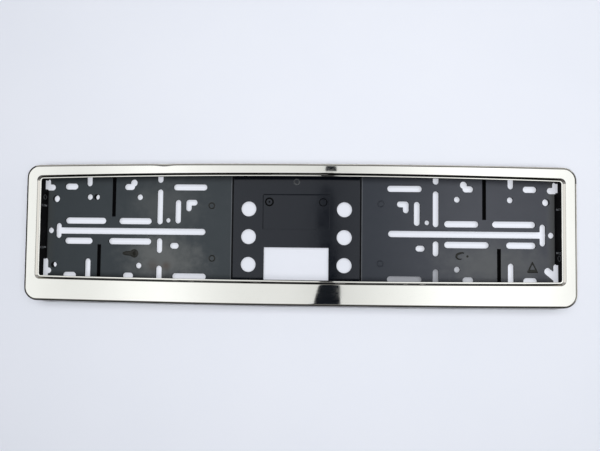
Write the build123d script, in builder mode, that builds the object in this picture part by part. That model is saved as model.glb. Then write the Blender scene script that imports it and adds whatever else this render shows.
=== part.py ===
from build123d import *
from math import atan2, sqrt, tan
import os

# Number plate holder: a moulded plastic tray with a pressed steel cover frame snapped over it.
# It lies on its back: X runs along the plate, Y is the plate's up, Z comes out of the front.
# Z = 0 is the plane of the back, X = Y = 0 the middle of the outline. Sizes are in millimetres.

# The plate that it holds
plate_length = 520.0
plate_height = 112.0
plate_room = 1.5            # room for the plate between its seat and the lip
plate_play = 0.8            # between the plate's edge and the ribs round it

# Cover frame, pressed from sheet
sheet = 0.6
border_side = 5.8           # face beyond the plate's ends
border_top = 4.3            # face beyond the plate's upper edge, at the corners
border_bottom = 16.6        # broad band below the plate, at the corners
crown_top = 2.7             # how far the long edges bow out in the middle
crown_bottom = 1.6
corner_radius = 12.8
bend_radius = 2.4           # outer bend between face and wall
flare_side = 0.4            # how far the wall spreads on its way down
flare_top = 0.4
flare_bottom = 3.8
overlap_side = 7.8          # lip over the plate
overlap_top = 9.1
overlap_bottom = 7.7
lip_crown_top = 4.0
lip_crown_bottom = 1.9
lip_corner_radius = 2.2
lip_width = 0.9             # flat of the lip, between its free edge and the step
step_height = 2.4           # from the lip up to the face
step_run = 1.8              # slope of the step, seen from the front
step_bend = 0.6             # bend radius at the top of the step
tab_width = 9.0             # tabs folded in under the tray's wall
tab_grip = 2.4              # how far a tab reaches past the wall's inner face
tab_count = 5
tab_end = 36.0              # outermost tab, in from the plate's end
cover_foot = 0.4            # underside of the tabs above the back plane

# Tray
wall = 2.0
fit_gap = 0.3               # between tray and cover
floor_thickness = 1.6
floor_stand = 3.4           # underside of the floor above the back plane
tray_depth = 12.3           # from the floor up to the lip
seat_side = 6.4             # ledge that carries the plate, inside the plate's edge
seat_end = 3.6              # the same along the long edges
tray_corner_radius = 2.0
rib = 1.6
rib_count = 13              # ribs across the hollow rim, along the long edges
rib_end = 26.0              # outermost rib, in from the plate's end
tongue_length = 42.0        # spring tongue cut into each end wall
tongue_room = 6.0           # between a tongue and the ribs either side of it
tongue_slit = 1.2
slit_reach = 5.0            # how far a slit runs out into the seat
tongue_root = 2.0           # wall left below the slits

# Sunk middle panel
panel_length = 126.0
panel_sink = 1.5
panel_slope = 1.6           # slope of its two side walls, seen from the front
port = 15.0                 # six round ports
port_x = 47.8
port_pitch = 27.8
port_drop = 4.15            # middle ports below the pattern's centre
window_length = 64.6
window_top = 14.6           # upper edge of the window below the pattern's centre
window_margin = 1.4         # strip between the window and the wall
pad_margin = 0.7            # raised pad above the window, longer by this at each end
pad_height = 34.0
pad_y = 20.6
pad_rise = 0.4

# Hollow ribs: narrow grooves that run from the floor to the wall
groove = 3.7
groove_floor = 1.0
groove_wall = 1.4
upper_groove_in = 69.4      # in from the tray's end wall
upper_groove_end = 14.6     # inner ends, above and below the pattern's centre
lower_groove_in = 55.2
lower_groove_end = 13.6

# Pattern of holes and slots in the floor, mirrored left and right, with its centre below the plate's.
# A run is the straight part of a slot.
pattern_drop = 4.1
slot = 6.2
narrow_slot = 5.8
screw_hole = 5.8
small_hole = 4.6
sleeve_hole = 7.0
end_hole = 5.8

# Placed from the middle
centre_slot_gap = 31.0      # long middle slot, clear of the panel's edge
fixing_row = 10.2           # rows of slots above and below the middle slot
riser_x = 137.3             # column of upright slots
riser_upper_start = 10.0
riser_upper_run = 29.6
riser_lower_start = 9.7
riser_lower_run = 9.0
land_length = 22.0          # thinned land where the column crosses the middle slot
land_height = 9.2
land_sink = 0.6

# Placed from the column of upright slots
inner_slot_gap = 11.4       # start of the inner slots in the fixing rows
screw_gap = 20.7
screw_y = 34.4
dot_gap = 8.5
dot_y = 11.3
stub_gap = 15.1             # short slot
stub_y = -14.2
stub_run = 3.2
inner_riser_gap = 18.4
inner_riser_y = 20.1
inner_riser_run = 17.9
angle_gap = 29.2            # angle-shaped hole: its corner
angle_y = 29.3
angle_leg = 5.8
edge_inner_gap = 30.5
edge_inner_run = 27.8

# Placed from the grooves
upper_inner_end_gap = 8.3   # end of the inner slots in the fixing rows
lower_inner_end_gap = 12.5
bean_gap = 15.6
bean_run = 4.4
bean_bulge = 7.2            # round bulge that makes the bean
bean_bulge_shift = 4.2
bean_bulge_rise = 4.0

# Placed from the tray's end walls
tee_in = 13.1               # cross slot at the end of the middle slot
tee_width = 5.8
tee_run_left = 9.4
tee_run_right = 15.6
upper_slot_in = 40.7
upper_slot_run = 35.6
lower_slot_in = 33.8
lower_slot_run = 22.4
edge_slot_in = 25.2
edge_slot_run = 7.3
outer_riser_in = 43.7
end_hole_in = 5.1
sleeve_in = 9.8
outer_screw_in = 44.3
left_sleeve_in = 51.5       # only on the left
left_low_sleeve_in = 9.0
hook_in = 0.6               # angle-shaped holes in the upper corners
hook_width = 6.2
hook_rise = 5.6
hook_run = 5.1
ear_in = 0.3                # holes in the lower corners
ear_run = 11.0
ear_lobe_in = 8.3           # slanted lobe, only on the right
ear_lobe_width = 7.0
ear_bulge_in = 3.6          # small bulge, only on the left
corner_notch = 2.5          # how far the passage of a corner hole goes up the wall
sleeve_length = 1.6         # sleeves behind the upper holes at the ends
sleeve_wall = 1.7
sleeve_sides = 8

# Placed from the tray's upper and lower walls
upper_edge_drop = 11.8      # rows of slots along the upper and lower edge
lower_edge_rise = 3.6
riser_top_drop = 4.5        # upright slots that end under the lip
riser_bottom_rise = 11.2
outer_riser_top_drop = 8.6
outer_riser_bottom_rise = 17.6
riser_margin = 1.2          # between such a slot and the wall
sleeve_drop = 24.3
outer_screw_drop = 22.3
left_low_sleeve_rise = 13.9
hook_drop = 12.9
ear_rise = 6.7
ear_lobe_rise = 13.3
ear_bulge_rise = 8.0

# Heights and places that follow from these
floor_z = floor_stand + floor_thickness
lip_z = floor_z + tray_depth
face_z = lip_z + step_height
shoulder_z = face_z - 2 * bend_radius               # the wall flares below it and stands straight above it
seat_z = lip_z - sheet - plate_room
tray_foot = cover_foot + sheet + fit_gap
tray_top = face_z - sheet - fit_gap
tray_inset = sheet + fit_gap
extent_top = border_top + crown_top + flare_top
extent_bottom = border_bottom + crown_bottom + flare_bottom
plate_y = (extent_bottom - extent_top) / 2
pattern_y = plate_y - pattern_drop
tray_length = plate_length - 2 * seat_side
tray_height = plate_height - 2 * seat_end
tray_upper = tray_height / 2 + pattern_drop         # tray's inner walls, from the pattern's centre
tray_lower = tray_height / 2 - pattern_drop
tab_pitch = (plate_length - 2 * tab_end) / (tab_count - 1)
rib_pitch = (plate_length - 2 * rib_end) / (rib_count - 1)
end_rib_pitch = tongue_length + 2 * tongue_room
pad_length = window_length + 2 * pad_margin
bend_bevel = (2 - sqrt(2)) * (bend_radius - sheet)  # flat that touches the inner side of the bend
step_angle = atan2(step_height, step_run)
step_shift = sheet * tan(step_angle / 2)            # keeps the sheet's thickness round the step
sides = (-1, 1)


class CrownedRectangle(BaseSketchObject):
    """Rectangle with rounded corners whose long edges bow outwards."""

    def __init__(self, half_length, top, bottom, bow_top, bow_bottom, radius, mode=Mode.ADD):
        with BuildSketch(mode=Mode.PRIVATE) as shape:
            with BuildLine():
                ThreePointArc((-half_length, top), (0, top + bow_top), (half_length, top))
                Line((half_length, top), (half_length, -bottom))
                ThreePointArc((half_length, -bottom), (0, -bottom - bow_bottom), (-half_length, -bottom))
                Line((-half_length, -bottom), (-half_length, top))
            make_face()
            fillet(shape.vertices(), radius)
        super().__init__(obj=shape.sketch, mode=mode)


def plate_plane(z):
    """Plane across the holder, centred on the plate."""
    return Plane((0, plate_y, z))


def pattern_plane(z):
    """Plane across the holder, centred on the pattern of holes."""
    return Plane((0, pattern_y, z))


def wall_outline(z, inset, mode=Mode.ADD):
    """Outline of the cover's outer wall at a height, or that outline drawn in."""
    spread = max(shoulder_z - z, 0) / (shoulder_z - cover_foot)
    CrownedRectangle(
        plate_length / 2 + border_side + spread * flare_side - inset,
        plate_height / 2 + border_top + spread * flare_top - inset,
        plate_height / 2 + border_bottom + spread * flare_bottom - inset,
        crown_top,
        crown_bottom,
        corner_radius - inset,
        mode,
    )


def lip_outline(widen):
    """Outline of the opening that the lip leaves, or that outline spread outwards."""
    CrownedRectangle(
        plate_length / 2 - overlap_side + widen,
        plate_height / 2 - overlap_top + widen,
        plate_height / 2 - overlap_bottom + widen,
        lip_crown_top,
        lip_crown_bottom,
        lip_corner_radius + widen,
    )


def rim_block(inset, low, high):
    """Block inside the outer wall, between two heights."""
    flare_end = min(high, shoulder_z)
    with BuildSketch(plate_plane(low)) as foot:
        wall_outline(low, inset)
    with BuildSketch(plate_plane(flare_end)) as head:
        wall_outline(flare_end, inset)
    loft([foot.sketch, head.sketch], ruled=True)
    if high > flare_end:
        extrude(head.sketch, amount=high - flare_end)


def step_block(drop, shift):
    """Sunk step round the opening, from the lip up to the face, to take out of a block."""
    with BuildSketch(plate_plane(lip_z - drop)) as lip:
        lip_outline(lip_width + shift)
    with BuildSketch(plate_plane(face_z - drop)) as brim:
        lip_outline(lip_width + step_run + shift)
    loft([lip.sketch, brim.sketch], ruled=True, mode=Mode.SUBTRACT)


def tray_outline(widen):
    """Inside of the tray's walls, or that outline spread outwards."""
    RectangleRounded(tray_length + 2 * widen, tray_height + 2 * widen, tray_corner_radius + widen)


def rim_ribs():
    """Ribs across the rim: along both long edges, and either side of the tongues at the ends."""
    with GridLocations(rib_pitch, 0, rib_count, 1):
        Rectangle(rib, 2 * plate_height)
    with GridLocations(0, end_rib_pitch, 1, 2):
        Rectangle(2 * plate_length, rib)


def both(x, y):
    """Places of a feature and its mirror image."""
    return [(side * x, y) for side in sides]


def from_end(distance):
    """Place along X, given in from the tray's end wall."""
    return tray_length / 2 - distance


def from_top(distance):
    """Place along Y in the pattern, given down from the tray's upper wall."""
    return tray_upper - distance


def from_bottom(distance):
    """Place along Y in the pattern, given up from the tray's lower wall."""
    return distance - tray_lower


def level_slot(start, end, y):
    """Slot between two centres of its round ends, with its mirror image."""
    with Locations(*both((start + end) / 2, y)):
        SlotCenterToCenter(abs(end - start), slot)


def upright_slot(x, start, end):
    """Narrow upright slot between two centres of its round ends, with its mirror image."""
    with Locations(*both(x, (start + end) / 2)):
        SlotCenterToCenter(abs(end - start), narrow_slot, rotation=90)


def lip_slot(x, start, end):
    """Narrow upright slot with a round end in sight and a square one under the lip, mirrored too."""
    with Locations(*both(x, start)):
        Circle(narrow_slot / 2)
    with Locations(*both(x, (start + end) / 2)):
        Rectangle(narrow_slot, abs(end - start))


# Core of the cover: the space inside the sheet, with the step's underside left out
with BuildPart() as cover_core:
    rim_block(sheet, cover_foot - wall, face_z - sheet)
    chamfer(cover_core.faces().sort_by(Axis.Z)[-1].edges(), bend_bevel)
    step_block(sheet, step_shift)

# Cover frame: the block's skin, with its stepped lip and the tabs folded in at the back
with BuildPart() as cover_frame:
    rim_block(0, cover_foot, face_z)
    fillet(cover_frame.faces().sort_by(Axis.Z)[-1].edges(), bend_radius)
    step_block(0, 0)
    fillet(cover_frame.faces().sort_by(Axis.Z)[-1].inner_wires().edges(), step_bend)
    with BuildSketch(plate_plane(0)):
        lip_outline(0)
    extrude(amount=face_z, mode=Mode.SUBTRACT)
    add(cover_core.part, mode=Mode.SUBTRACT)
    with BuildSketch(plate_plane(cover_foot)):
        with GridLocations(tab_pitch, 0, tab_count, 1):
            Rectangle(tab_width, 2 * plate_height)
        wall_outline(cover_foot, sheet / 2, mode=Mode.INTERSECT)
        wall_outline(cover_foot, tray_inset + wall + tab_grip, mode=Mode.SUBTRACT)
    extrude(amount=sheet)
cover_frame.part.label = "cover_frame"

# Hollow under the plate's seat, open to the back and crossed by ribs
with BuildPart() as rim_hollow:
    rim_block(tray_inset + wall, 0, seat_z - wall)
    with BuildSketch(plate_plane(0)):
        tray_outline(wall)
        rim_ribs()
    extrude(amount=seat_z, mode=Mode.SUBTRACT)

# Space over the seat: the plate's own, and the bays between the ribs that carry the cover
with BuildPart() as seat_space:
    rim_block(tray_inset + wall, seat_z, face_z)
    with BuildSketch(plate_plane(seat_z)):
        rim_ribs()
        Rectangle(plate_length + 2 * plate_play, plate_height + 2 * plate_play, mode=Mode.SUBTRACT)
    extrude(amount=face_z, mode=Mode.SUBTRACT)

with BuildPart() as base_tray:
    # Rim: outer wall, seat and ribs
    rim_block(tray_inset, tray_foot, tray_top)
    chamfer(base_tray.faces().sort_by(Axis.Z)[-1].edges(), bend_bevel)
    add(rim_hollow.part, mode=Mode.SUBTRACT)
    add(seat_space.part, mode=Mode.SUBTRACT)
    with BuildSketch(plate_plane(0)):
        tray_outline(wall)
    extrude(amount=seat_z)
    with BuildSketch(plate_plane(floor_z)):
        tray_outline(0)
    extrude(amount=face_z, mode=Mode.SUBTRACT)
    with BuildSketch(plate_plane(0)):
        tray_outline(0)
    extrude(amount=floor_stand, mode=Mode.SUBTRACT)

    # Middle panel, sunk between two sloping walls
    with BuildSketch(Plane.XZ.offset(tray_lower - pattern_y)):
        with BuildLine():
            Polyline(
                (-panel_length / 2 - panel_slope - wall, floor_stand),
                (-panel_length / 2 - wall, floor_stand - panel_sink),
                (panel_length / 2 + wall, floor_stand - panel_sink),
                (panel_length / 2 + panel_slope + wall, floor_stand),
                close=True,
            )
        make_face()
    extrude(amount=-tray_height)
    with BuildSketch(Plane.XZ.offset(tray_lower - pattern_y)):
        with BuildLine():
            Polyline(
                (-panel_length / 2 - panel_slope, floor_z),
                (-panel_length / 2, floor_z - panel_sink),
                (panel_length / 2, floor_z - panel_sink),
                (panel_length / 2 + panel_slope, floor_z),
                close=True,
            )
        make_face()
    extrude(amount=-tray_height, mode=Mode.SUBTRACT)
    with BuildSketch(pattern_plane(floor_z - panel_sink)):
        with Locations((0, pad_y)):
            Rectangle(pad_length, pad_height)
    extrude(amount=pad_rise)

    # Hollow ribs: a channel behind the floor for each groove
    upper_groove_x = from_end(upper_groove_in)
    lower_groove_x = from_end(lower_groove_in)
    upper_run = tray_upper - upper_groove_end
    lower_run = tray_lower - lower_groove_end
    upper_places = both(upper_groove_x, tray_upper - upper_run / 2)
    lower_places = both(lower_groove_x, -tray_lower + lower_run / 2)
    with BuildSketch(pattern_plane(0)):
        with Locations(*upper_places):
            Rectangle(groove + 2 * groove_wall, upper_run + 2 * groove_wall)
        with Locations(*lower_places):
            Rectangle(groove + 2 * groove_wall, lower_run + 2 * groove_wall)
    extrude(amount=floor_z)
    with BuildSketch(pattern_plane(groove_floor)):
        with Locations(*upper_places):
            Rectangle(groove, upper_run)
        with Locations(*lower_places):
            Rectangle(groove, lower_run)
    extrude(amount=floor_z, mode=Mode.SUBTRACT)

    # Sleeves behind some of the holes; the two that are only on the left go down to the back
    sleeve_places = both(from_end(sleeve_in), from_top(sleeve_drop))
    left_sleeve_places = [
        (-from_end(left_sleeve_in), from_top(outer_screw_drop)),
        (-from_end(left_low_sleeve_in), from_bottom(left_low_sleeve_rise)),
    ]
    with BuildSketch(pattern_plane(floor_stand - sleeve_length)):
        with Locations(*sleeve_places):
            RegularPolygon(sleeve_hole / 2 + sleeve_wall, sleeve_sides, major_radius=False)
    extrude(amount=sleeve_length)
    with BuildSketch(pattern_plane(0)):
        with Locations(*left_sleeve_places):
            RegularPolygon(screw_hole / 2 + sleeve_wall, sleeve_sides, major_radius=False)
    extrude(amount=floor_stand)

    # Long slots along the plate
    with BuildSketch(pattern_plane(0)):
        tee_x = from_end(tee_in)
        level_slot(panel_length / 2 + centre_slot_gap, tee_x, 0)
        for side, tee_run in zip(sides, (tee_run_left, tee_run_right)):
            with Locations((side * tee_x, 0)):
                SlotCenterToCenter(tee_run, tee_width, rotation=90)
        inner_slot_start = riser_x + inner_slot_gap
        level_slot(inner_slot_start, upper_groove_x - upper_inner_end_gap, fixing_row)
        level_slot(inner_slot_start, lower_groove_x - lower_inner_end_gap, -fixing_row)
        bean_x = upper_groove_x - bean_gap
        upper_edge = from_top(upper_edge_drop)
        lower_edge = from_bottom(lower_edge_rise)
        for x, row, run in (
            (from_end(upper_slot_in), fixing_row, upper_slot_run),
            (from_end(lower_slot_in), -fixing_row, lower_slot_run),
            (from_end(edge_slot_in), upper_edge, edge_slot_run),
            (from_end(edge_slot_in), lower_edge, edge_slot_run),
            (riser_x - edge_inner_gap, upper_edge, edge_inner_run),
            (riser_x - edge_inner_gap, lower_edge, edge_inner_run),
            (bean_x, upper_edge, bean_run),
            (bean_x, lower_edge, bean_run),
        ):
            level_slot(x - run / 2, x + run / 2, row)
        with Locations(*both(bean_x - bean_bulge_shift, upper_edge + bean_bulge_rise)):
            Circle(bean_bulge / 2)
    extrude(amount=floor_z, mode=Mode.SUBTRACT)

    # Upright, short and angle-shaped slots
    with BuildSketch(pattern_plane(0)):
        upright_slot(riser_x, riser_upper_start, riser_upper_start + riser_upper_run)
        upright_slot(riser_x, -riser_lower_start, -riser_lower_start - riser_lower_run)
        upright_slot(
            riser_x - inner_riser_gap,
            inner_riser_y - inner_riser_run / 2,
            inner_riser_y + inner_riser_run / 2,
        )
        outer_riser_x = from_end(outer_riser_in)
        lip_slot(riser_x, from_top(riser_top_drop), from_top(riser_margin))
        lip_slot(riser_x, from_bottom(riser_bottom_rise), from_bottom(riser_margin))
        lip_slot(outer_riser_x, from_top(outer_riser_top_drop), from_top(riser_margin))
        lip_slot(outer_riser_x, from_bottom(outer_riser_bottom_rise), from_bottom(riser_margin))
        with Locations(*both(riser_x - stub_gap, stub_y)):
            SlotCenterToCenter(stub_run, narrow_slot)
        angle_x = riser_x - angle_gap
        upright_slot(angle_x, angle_y - angle_leg, angle_y)
        with Locations(*both(angle_x - angle_leg / 2, angle_y)):
            SlotCenterToCenter(angle_leg, narrow_slot)
    extrude(amount=floor_z, mode=Mode.SUBTRACT)

    # Round holes, the ports and the window
    screw_x = riser_x + screw_gap
    window_height = tray_lower - window_margin - window_top
    with BuildSketch(pattern_plane(0)):
        outer_screw_places = both(from_end(outer_screw_in), from_top(outer_screw_drop))
        with Locations(*outer_screw_places, *both(screw_x, screw_y), *both(screw_x, -screw_y)):
            Circle(screw_hole / 2)
        with Locations(*left_sleeve_places):
            Circle(screw_hole / 2)
        with Locations(*sleeve_places):
            Circle(sleeve_hole / 2)
        with Locations(*both(riser_x - dot_gap, dot_y)):
            Circle(small_hole / 2)
        with Locations(*both(from_end(end_hole_in), 0)):
            Circle(end_hole / 2)
        with Locations((0, -port_drop)):
            with GridLocations(2 * port_x, port_pitch, 2, 3):
                Circle(port / 2)
        with Locations((0, -window_top - window_height / 2)):
            Rectangle(window_length, window_height)
    extrude(amount=floor_z, mode=Mode.SUBTRACT)

    # Corner holes, which go on through the foot of the wall
    hook_x = from_end(hook_in)
    hook_y = from_top(hook_drop)
    ear_x = from_end(ear_in)
    ear_y = from_bottom(ear_rise)
    lobe_x = from_end(ear_lobe_in)
    lobe_y = from_bottom(ear_lobe_rise)
    with BuildSketch(pattern_plane(0)):
        with Locations(*both(hook_x, hook_y + hook_rise / 2)):
            SlotCenterToCenter(hook_rise, hook_width, rotation=90)
        with Locations(*both(hook_x - hook_run / 2, hook_y)):
            SlotCenterToCenter(hook_run, hook_width)
        lip_slot(ear_x, ear_y + ear_run, from_bottom(riser_margin))
        SlotCenterPoint(((lobe_x + ear_x) / 2, (lobe_y + ear_y) / 2), (ear_x, ear_y), ear_lobe_width)
        with Locations((-from_end(ear_bulge_in), from_bottom(ear_bulge_rise))):
            Circle(narrow_slot / 2)
    extrude(amount=floor_z + corner_notch, mode=Mode.SUBTRACT)

    # Thinned lands where the column crosses the middle slot
    with BuildSketch(pattern_plane(floor_z - land_sink)):
        with Locations(*both(riser_x, 0)):
            Rectangle(land_length, land_height)
    extrude(amount=land_sink, mode=Mode.SUBTRACT)

    # Slits that free a spring tongue in each end wall
    with BuildSketch(plate_plane(floor_z + tongue_root)):
        with GridLocations(tray_length, tongue_length, 2, 2):
            Rectangle(2 * slit_reach, tongue_slit)
    extrude(amount=tray_depth, mode=Mode.SUBTRACT)
base_tray.part.label = "base_tray"

os.makedirs("parts", exist_ok=True)
export_step(cover_frame.part, "parts/cover_frame.step")
export_step(base_tray.part, "parts/base_tray.step")
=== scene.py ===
import bmesh
import bpy
from math import atan, atan2, cos, exp, hypot, pi, sin, sqrt, tan
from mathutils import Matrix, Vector


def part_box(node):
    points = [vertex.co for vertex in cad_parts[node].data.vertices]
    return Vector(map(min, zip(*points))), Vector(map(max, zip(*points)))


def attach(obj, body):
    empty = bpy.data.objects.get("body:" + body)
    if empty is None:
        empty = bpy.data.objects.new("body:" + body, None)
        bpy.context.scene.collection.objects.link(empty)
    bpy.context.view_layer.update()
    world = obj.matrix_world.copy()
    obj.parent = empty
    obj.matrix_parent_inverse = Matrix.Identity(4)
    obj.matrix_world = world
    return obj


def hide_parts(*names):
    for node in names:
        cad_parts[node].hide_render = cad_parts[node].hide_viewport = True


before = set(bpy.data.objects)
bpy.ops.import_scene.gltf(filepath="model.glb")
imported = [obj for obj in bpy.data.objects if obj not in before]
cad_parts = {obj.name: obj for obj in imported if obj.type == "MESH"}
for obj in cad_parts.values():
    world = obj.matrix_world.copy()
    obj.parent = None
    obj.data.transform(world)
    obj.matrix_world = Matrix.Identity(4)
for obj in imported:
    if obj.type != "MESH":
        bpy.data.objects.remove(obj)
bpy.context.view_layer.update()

# Base tray: one injection moulding in black polypropylene, with a floor and walls of about two millimetres.
# Its slots, holes, grooves and sunk middle panel are in the solid, which stays as it is.
# The moulding gets its surface here. Sizes and places are in millimetres, here and further down.
MM = 0.001
FLOOR_Z = 5.0
PLATE_Y = 7.3
END_WALL_X = 253.6
PANEL_HALF_LENGTH = 65.0
PLASTIC_LEFT = "#2a3033"
PLASTIC_MIDDLE = "#080c14"
PLASTIC_INNER_RIGHT = "#22262d"
PLASTIC_RIGHT = "#3d3f45"
PLASTIC_HAZE_AND_SHEEN = "#585a59"
PLASTIC_STAIN = "#3f2f22"
PLASTIC_EDGE_HIGHLIGHT = "#4a4d51"
PLASTIC_PAINTED_SHADE = "#020203"
PLASTIC_SLIT_LIGHT = "#7a7d80"


def linear(colour):
    """Linear colour of an sRGB hex value, as a shader takes it."""
    channels = [int(colour[i : i + 2], 16) / 255 for i in (1, 3, 5)]
    return [c / 12.92 if c < 0.04045 else ((c + 0.055) / 1.055) ** 2.4 for c in channels] + [1.0]


def add_node(tree, kind, settings, inputs):
    """Add a node to a tree with its settings, and set or link its inputs."""
    node = tree.nodes.new(kind)
    for name, value in settings.items():
        setattr(node, name, value)
    for name, value in inputs.items():
        if isinstance(value, bpy.types.NodeSocket):
            tree.links.new(value, node.inputs[name])
        else:
            node.inputs[name].default_value = value
    return node


def bare_material(name):
    """New material with no nodes, and its tree."""
    material = bpy.data.materials.new(name)
    material.use_nodes = True
    material.node_tree.nodes.clear()
    return material, material.node_tree


def band(tree, across, middle, half_width, height, bottom, top):
    """Mask of a band: one within a half width of a middle and between two heights, and nought elsewhere."""
    near = add_node(
        tree,
        "ShaderNodeMath",
        {"operation": "COMPARE"},
        {0: across, 1: middle * MM, 2: half_width * MM},
    )
    level = add_node(
        tree,
        "ShaderNodeMath",
        {"operation": "COMPARE"},
        {0: height, 1: (bottom + top) / 2 * MM, 2: (top - bottom) / 2 * MM},
    )
    return add_node(
        tree,
        "ShaderNodeMath",
        {"operation": "MULTIPLY"},
        {0: near.outputs[0], 1: level.outputs[0]},
    )


# Moulded polypropylene is near black in itself; what the eye sees is the soft gloss of its skin,
# duller where it flowed slowly, with hazy bloom near the gates, painted highlights on its edges and painted
# shade in its hollows.
moulded_polypropylene, tree = bare_material("polypropylene_moulded_satin")
place = add_node(tree, "ShaderNodeTexCoord", {}, {}).outputs["Object"]
axes = add_node(tree, "ShaderNodeSeparateXYZ", {}, {"Vector": place})
aside = add_node(tree, "ShaderNodeMath", {"operation": "ABSOLUTE"}, {0: axes.outputs["X"]})
FLOW_SIZE, CLOUD_SIZE = 70.0, 9.0
flow = add_node(
    tree,
    "ShaderNodeTexNoise",
    {},
    {"Vector": place, "Scale": 1 / (FLOW_SIZE * MM), "Detail": 3.0, "Roughness": 0.5},
)
cloud = add_node(
    tree,
    "ShaderNodeTexNoise",
    {},
    {"Vector": place, "Scale": 1 / (CLOUD_SIZE * MM), "Detail": 4.0, "Roughness": 0.6},
)
# The mould's spark-eroded grain is finer than a pixel, so it is drawn at half a millimetre
GRAIN_SIZE = 0.5
grain = add_node(
    tree,
    "ShaderNodeTexNoise",
    {},
    {"Vector": place, "Scale": 1 / (GRAIN_SIZE * MM), "Detail": 2.0, "Roughness": 0.5},
)

# The skin is a little greener on the left and gets paler towards the right end
PALE_FROM, PALE_FULL = 60.0, 190.0
along = add_node(
    tree,
    "ShaderNodeMapRange",
    {"interpolation_type": "SMOOTHSTEP"},
    {"Value": axes.outputs["X"], "From Min": PALE_FROM * MM, "From Max": PALE_FULL * MM},
)
right_half = add_node(tree, "ShaderNodeMath", {"operation": "GREATER_THAN"}, {0: axes.outputs["X"], 1: 0.0})
inner_colour = add_node(
    tree,
    "ShaderNodeMix",
    {"data_type": "RGBA"},
    {0: right_half.outputs[0], 6: linear(PLASTIC_LEFT), 7: linear(PLASTIC_INNER_RIGHT)},
)
ends_colour = add_node(
    tree,
    "ShaderNodeMix",
    {"data_type": "RGBA"},
    {0: along.outputs["Result"], 6: inner_colour.outputs[2], 7: linear(PLASTIC_RIGHT)},
)

# Painted sheen: the floor beside the end walls is painted paler, more on the right, standing in for
# reflected light there
WALL_SHEEN_FROM, WALL_SHEEN_FULL, WALL_SHEEN_END_X = 242.0, 253.0, 250.0
WALL_SHEEN_LEFT, WALL_SHEEN_RIGHT = 0.35, 0.8
near_wall_sheen = add_node(
    tree,
    "ShaderNodeMapRange",
    {"interpolation_type": "SMOOTHSTEP"},
    {"Value": aside.outputs[0], "From Min": WALL_SHEEN_FROM * MM, "From Max": WALL_SHEEN_FULL * MM},
)
wall_sheen_side = add_node(
    tree,
    "ShaderNodeMapRange",
    {},
    {
        "Value": axes.outputs["X"],
        "From Min": -WALL_SHEEN_END_X * MM,
        "From Max": WALL_SHEEN_END_X * MM,
        "To Min": WALL_SHEEN_LEFT,
        "To Max": WALL_SHEEN_RIGHT,
    },
)
wall_sheen = add_node(
    tree,
    "ShaderNodeMath",
    {"operation": "MULTIPLY"},
    {0: near_wall_sheen.outputs["Result"], 1: wall_sheen_side.outputs["Result"]},
)
ends_colour = add_node(
    tree,
    "ShaderNodeMix",
    {"data_type": "RGBA"},
    {0: wall_sheen.outputs[0], 6: ends_colour.outputs[2], 7: linear(PLASTIC_HAZE_AND_SHEEN)},
)

# The sunk panel in the middle is out of the reach of hands and cloths and has kept its gloss
HANDLED_FROM, HANDLED_FULL = 62.0, 67.0
handled = add_node(
    tree,
    "ShaderNodeMapRange",
    {"interpolation_type": "SMOOTHSTEP"},
    {"Value": aside.outputs[0], "From Min": HANDLED_FROM * MM, "From Max": HANDLED_FULL * MM},
)
colour = add_node(
    tree,
    "ShaderNodeMix",
    {"data_type": "RGBA"},
    {0: handled.outputs["Result"], 6: linear(PLASTIC_MIDDLE), 7: ends_colour.outputs[2]},
)

# Bloom near the two gates and above the left one: where it lies, how far it reaches, and its strength
for bloom_x, bloom_y, reach_x, reach_y, strength in (
    (-133.0, -24.0, 54.0, 34.0, 0.9),
    (-132.0, 30.0, 48.0, 36.0, 0.35),
    (192.0, -26.0, 70.0, 32.0, 0.55),
):
    offset = add_node(
        tree,
        "ShaderNodeVectorMath",
        {"operation": "SUBTRACT"},
        {0: place, 1: (bloom_x * MM, bloom_y * MM, 0.0)},
    )
    scaled = add_node(
        tree,
        "ShaderNodeVectorMath",
        {"operation": "MULTIPLY"},
        {0: offset.outputs[0], 1: (1 / (reach_x * MM), 1 / (reach_y * MM), 0.0)},
    )
    distance = add_node(tree, "ShaderNodeVectorMath", {"operation": "LENGTH"}, {0: scaled.outputs[0]})
    ragged = add_node(
        tree,
        "ShaderNodeMath",
        {"operation": "MULTIPLY_ADD"},
        {0: cloud.outputs["Fac"], 1: 0.9, 2: distance.outputs["Value"]},
    )
    bloom = add_node(
        tree,
        "ShaderNodeMapRange",
        {"interpolation_type": "SMOOTHSTEP"},
        {"Value": ragged.outputs[0], "From Min": 1.5, "From Max": 0.5, "To Max": strength},
    )
    colour = add_node(
        tree,
        "ShaderNodeMix",
        {"data_type": "RGBA"},
        {0: bloom.outputs["Result"], 6: colour.outputs[2], 7: linear(PLASTIC_HAZE_AND_SHEEN)},
    )

# Two brown stains of burnt plastic right of the left gate: place, reach and strength
for stain_x, stain_y, reach, strength in ((-143.0, -31.0, 9.0, 0.35), (-130.0, -31.0, 7.0, 0.6)):
    distance = add_node(
        tree,
        "ShaderNodeVectorMath",
        {"operation": "DISTANCE"},
        {0: place, 1: (stain_x * MM, stain_y * MM, FLOOR_Z * MM)},
    )
    stain = add_node(
        tree,
        "ShaderNodeMapRange",
        {"interpolation_type": "SMOOTHSTEP"},
        {"Value": distance.outputs["Value"], "From Min": reach * MM, "From Max": 0.0, "To Max": strength},
    )
    colour = add_node(
        tree,
        "ShaderNodeMix",
        {"data_type": "RGBA"},
        {0: stain.outputs["Result"], 6: colour.outputs[2], 7: linear(PLASTIC_STAIN)},
    )
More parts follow.
